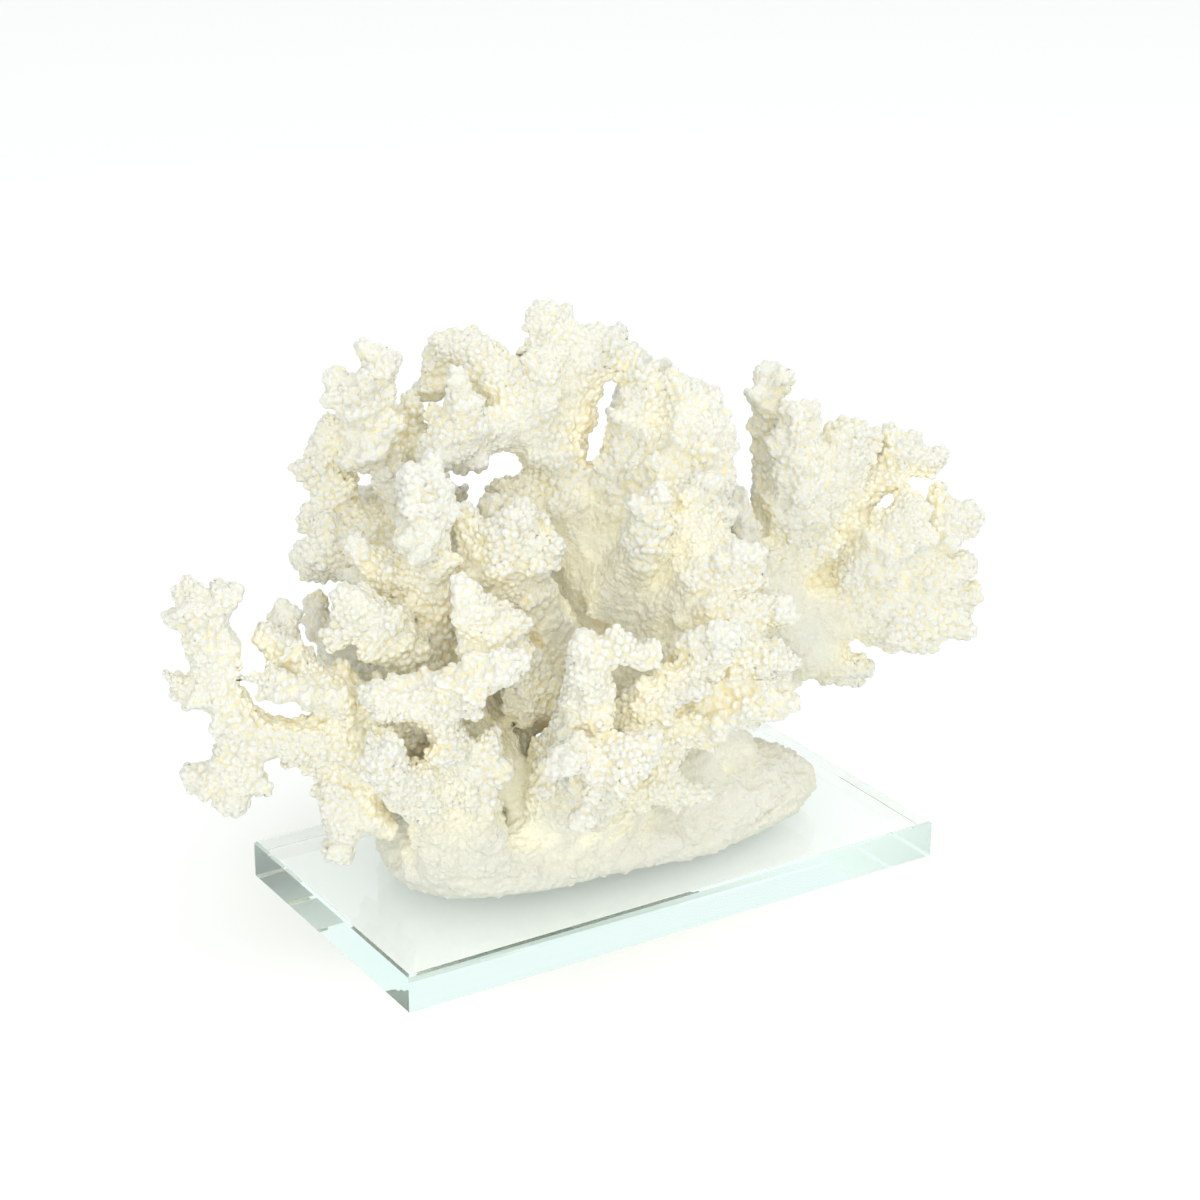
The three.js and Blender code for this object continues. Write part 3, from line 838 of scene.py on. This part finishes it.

# Painted shade and bounce light: knob gaps are yellower than knob tops, and sheltered skin is
# painted brighter and yellower.
gap_colour = mix_colour(tree, ramp(tree, sheltered, 0.15, 0.9), CREAM, OCHRE)
top_colour = mix_colour(tree, ramp(tree, sheltered, 0.2, 0.8), BLEACHED, SHADED_TOP)
grown_colour = mix_colour(tree, knob_top, gap_colour, top_colour)
bleaching = maths(tree, "MULTIPLY", layer_value(tree, "tip"), 0.6)
grown_colour = mix_colour(tree, bleaching, grown_colour, BLEACHED)
# Painted bounce light: sheltered bare skin is painted brighter and yellower than open bare skin.
bare_colour = mix_colour(tree, ramp(tree, sheltered, 0.1, 0.6), SANDY, SHADED_SAND)
skin_colour = mix_colour(tree, bare_part, grown_colour, bare_colour)
# Amber patches only where the skin is sheltered: partly stain, partly painted warm shade in the
# hollows.
stained_patch = ramp(tree, noise(tree, place, 16 * MM), 0.56, 0.72)
stain_and_hollow_shade = maths(tree, "MULTIPLY", stained_patch, ramp(tree, sheltered, 0.45, 0.9))
skin_colour = mix_colour(tree, maths(tree, "MULTIPLY", stain_and_hollow_shade, 0.6), skin_colour, AMBER)
pale_cloud = maths(tree, "MULTIPLY", ramp(tree, cloud, 0.35, 0.75), 0.25)
clouded = mix_colour(tree, pale_cloud, skin_colour, BLEACHED)
tree.links.new(clouded, shader.inputs["Base Color"])
shader.inputs["Roughness"].default_value = 0.92
shader.inputs["Specular IOR Level"].default_value = 0.25

PORE_SIZE = 0.9 * MM
PORE_DEPTH = 0.45 * MM
GRAIN_SIZE = 0.35 * MM
pores = tree.nodes.new("ShaderNodeTexVoronoi")
pores.inputs["Scale"].default_value = 1.0 / PORE_SIZE
tree.links.new(place, pores.inputs["Vector"])
grain = noise(tree, place, GRAIN_SIZE, 2.0)
pore_height = maths(tree, "MULTIPLY", pores.outputs["Distance"], 0.7)
grain_height = maths(tree, "MULTIPLY", grain, 0.6)
bump = tree.nodes.new("ShaderNodeBump")
bump.inputs["Strength"].default_value = 0.9
bump.inputs["Distance"].default_value = PORE_DEPTH
tree.links.new(maths(tree, "ADD", pore_height, grain_height), bump.inputs["Height"])
tree.links.new(bump.outputs["Normal"], shader.inputs["Normal"])
for piece in coral_pieces.values():
    piece.data.materials.append(coral)

# %% [markdown]
# ## Glass
#
# The slab is ordinary clear glass, half an inch thick. Such glass looks colourless through its
# thickness and green through its length, because it swallows a little red on every millimetre.
# A tint on the surface would colour the top as much as the edges, so the colour is put inside the
# glass, as absorption. Light that comes in by a long side runs to and fro inside more often than a
# renderer follows, and would end as black. So after three inner reflections it goes straight on,
# and so does the light on its way to the table and the coral.

# %% Glass material
GLASS_INDEX = 1.52
GLASS_TINT = (0.35, 0.93, 0.82, 1.0)
GLASS_DENSITY = 2.3
MOST_REFLECTIONS = 2.5

glass, tree, shader, output = new_material("clear_float_glass")
shader.inputs["Base Color"].default_value = (1.0, 1.0, 1.0, 1.0)
shader.inputs["Roughness"].default_value = 0.0
shader.inputs["IOR"].default_value = GLASS_INDEX
shader.inputs["Transmission Weight"].default_value = 1.0
inside = tree.nodes.new("ShaderNodeVolumeAbsorption")
inside.inputs["Color"].default_value = GLASS_TINT
inside.inputs["Density"].default_value = GLASS_DENSITY
tree.links.new(inside.outputs["Volume"], output.inputs["Volume"])

path = tree.nodes.new("ShaderNodeLightPath")
straight = tree.nodes.new("ShaderNodeBsdfTransparent")
chooser = tree.nodes.new("ShaderNodeMixShader")
trapped = maths(tree, "GREATER_THAN", path.outputs["Glossy Depth"], MOST_REFLECTIONS)
lighting = maths(tree, "MAXIMUM", path.outputs["Is Shadow Ray"], path.outputs["Is Diffuse Ray"])
tree.links.new(maths(tree, "MAXIMUM", trapped, lighting), chooser.inputs["Fac"])
tree.links.new(shader.outputs["BSDF"], chooser.inputs[1])
tree.links.new(straight.outputs["BSDF"], chooser.inputs[2])
tree.links.new(chooser.outputs["Shader"], output.inputs["Surface"])
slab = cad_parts[GLASS_NODE]
slab.data.materials.clear()
slab.data.materials.append(glass)

# %% [markdown]
# ## Floor, light and camera
#
# The piece stands on a white table in very soft light: a bright room all round, a large lamp high on
# the right for the shape, and one at the front that reaches into the depths of the coral.

# %% Stage
FLOOR_GAP = 0.05 * MM
FLOOR_HALF = 6.0
TABLE_WHITE = (0.94, 0.95, 0.943, 1.0)
ROOM_WHITE = (0.98, 1.0, 0.99, 1.0)

floor_mesh = bpy.data.meshes.new("floor")
signs = ((-1, -1), (1, -1), (1, 1), (-1, 1))
corners = [(x * FLOOR_HALF, y * FLOOR_HALF, -FLOOR_GAP) for x, y in signs]
floor_mesh.from_pydata(corners, [], [(0, 1, 2, 3)])
floor = put_in_scene("floor", floor_mesh)
paper, tree, shader, _ = new_material("white_table")
shader.inputs["Base Color"].default_value = TABLE_WHITE
shader.inputs["Roughness"].default_value = 0.8
shader.inputs["Specular IOR Level"].default_value = 0.2
floor.data.materials.append(paper)

scene = bpy.context.scene
scene.view_settings.view_transform = "Standard"
world = bpy.data.worlds.new("bright_room")
scene.world = world
world.use_nodes = True
room = world.node_tree.nodes["Background"]
room.inputs["Color"].default_value = ROOM_WHITE
room.inputs["Strength"].default_value = 1.0


def soft_lamp(name, place, aim, size, power):
    """A square area lamp at a place, turned towards its aim."""
    lamp = bpy.data.lights.new(name, "AREA")
    lamp.size = size
    lamp.energy = power
    holder = bpy.data.objects.new(name, lamp)
    holder.location = place
    holder.rotation_euler = (Vector(aim) - Vector(place)).to_track_quat("-Z", "Y").to_euler()
    scene.collection.objects.link(holder)


middle = 0.5 * (slab_low + slab_high)
heart = Vector((middle[0], middle[1], 90 * MM))
soft_lamp("window", (0.45, -0.15, 1.1), heart, size=0.9, power=2.6)
soft_lamp("reflector", (-0.55, -0.95, 0.55), heart, size=1.0, power=5.2)

VIEW_AZIMUTH = -32.0
VIEW_ELEVATION = 21.57
VIEW_DISTANCE = 869.2 * MM
VIEW_LENS = 84.9
SENSOR_WIDTH = 36.0
NEAREST_SEEN = 10 * MM
aim = Vector((middle[0] + 1.2 * MM, middle[1] - 0.8 * MM, 91.6 * MM))
azimuth, elevation = math.radians(VIEW_AZIMUTH), math.radians(VIEW_ELEVATION)
level = math.cos(elevation)
back = Vector((math.sin(azimuth) * level, -math.cos(azimuth) * level, math.sin(elevation)))
camera_data = bpy.data.cameras.new("camera")
camera_data.lens = VIEW_LENS
camera_data.sensor_width = SENSOR_WIDTH
camera_data.clip_start = NEAREST_SEEN
camera = bpy.data.objects.new("camera", camera_data)
camera.location = aim + back * VIEW_DISTANCE
camera.rotation_euler = (-back).to_track_quat("-Z", "Y").to_euler()
scene.collection.objects.link(camera)
scene.camera = camera
print("camera at", tuple(round(value / MM) for value in camera.location), "mm")
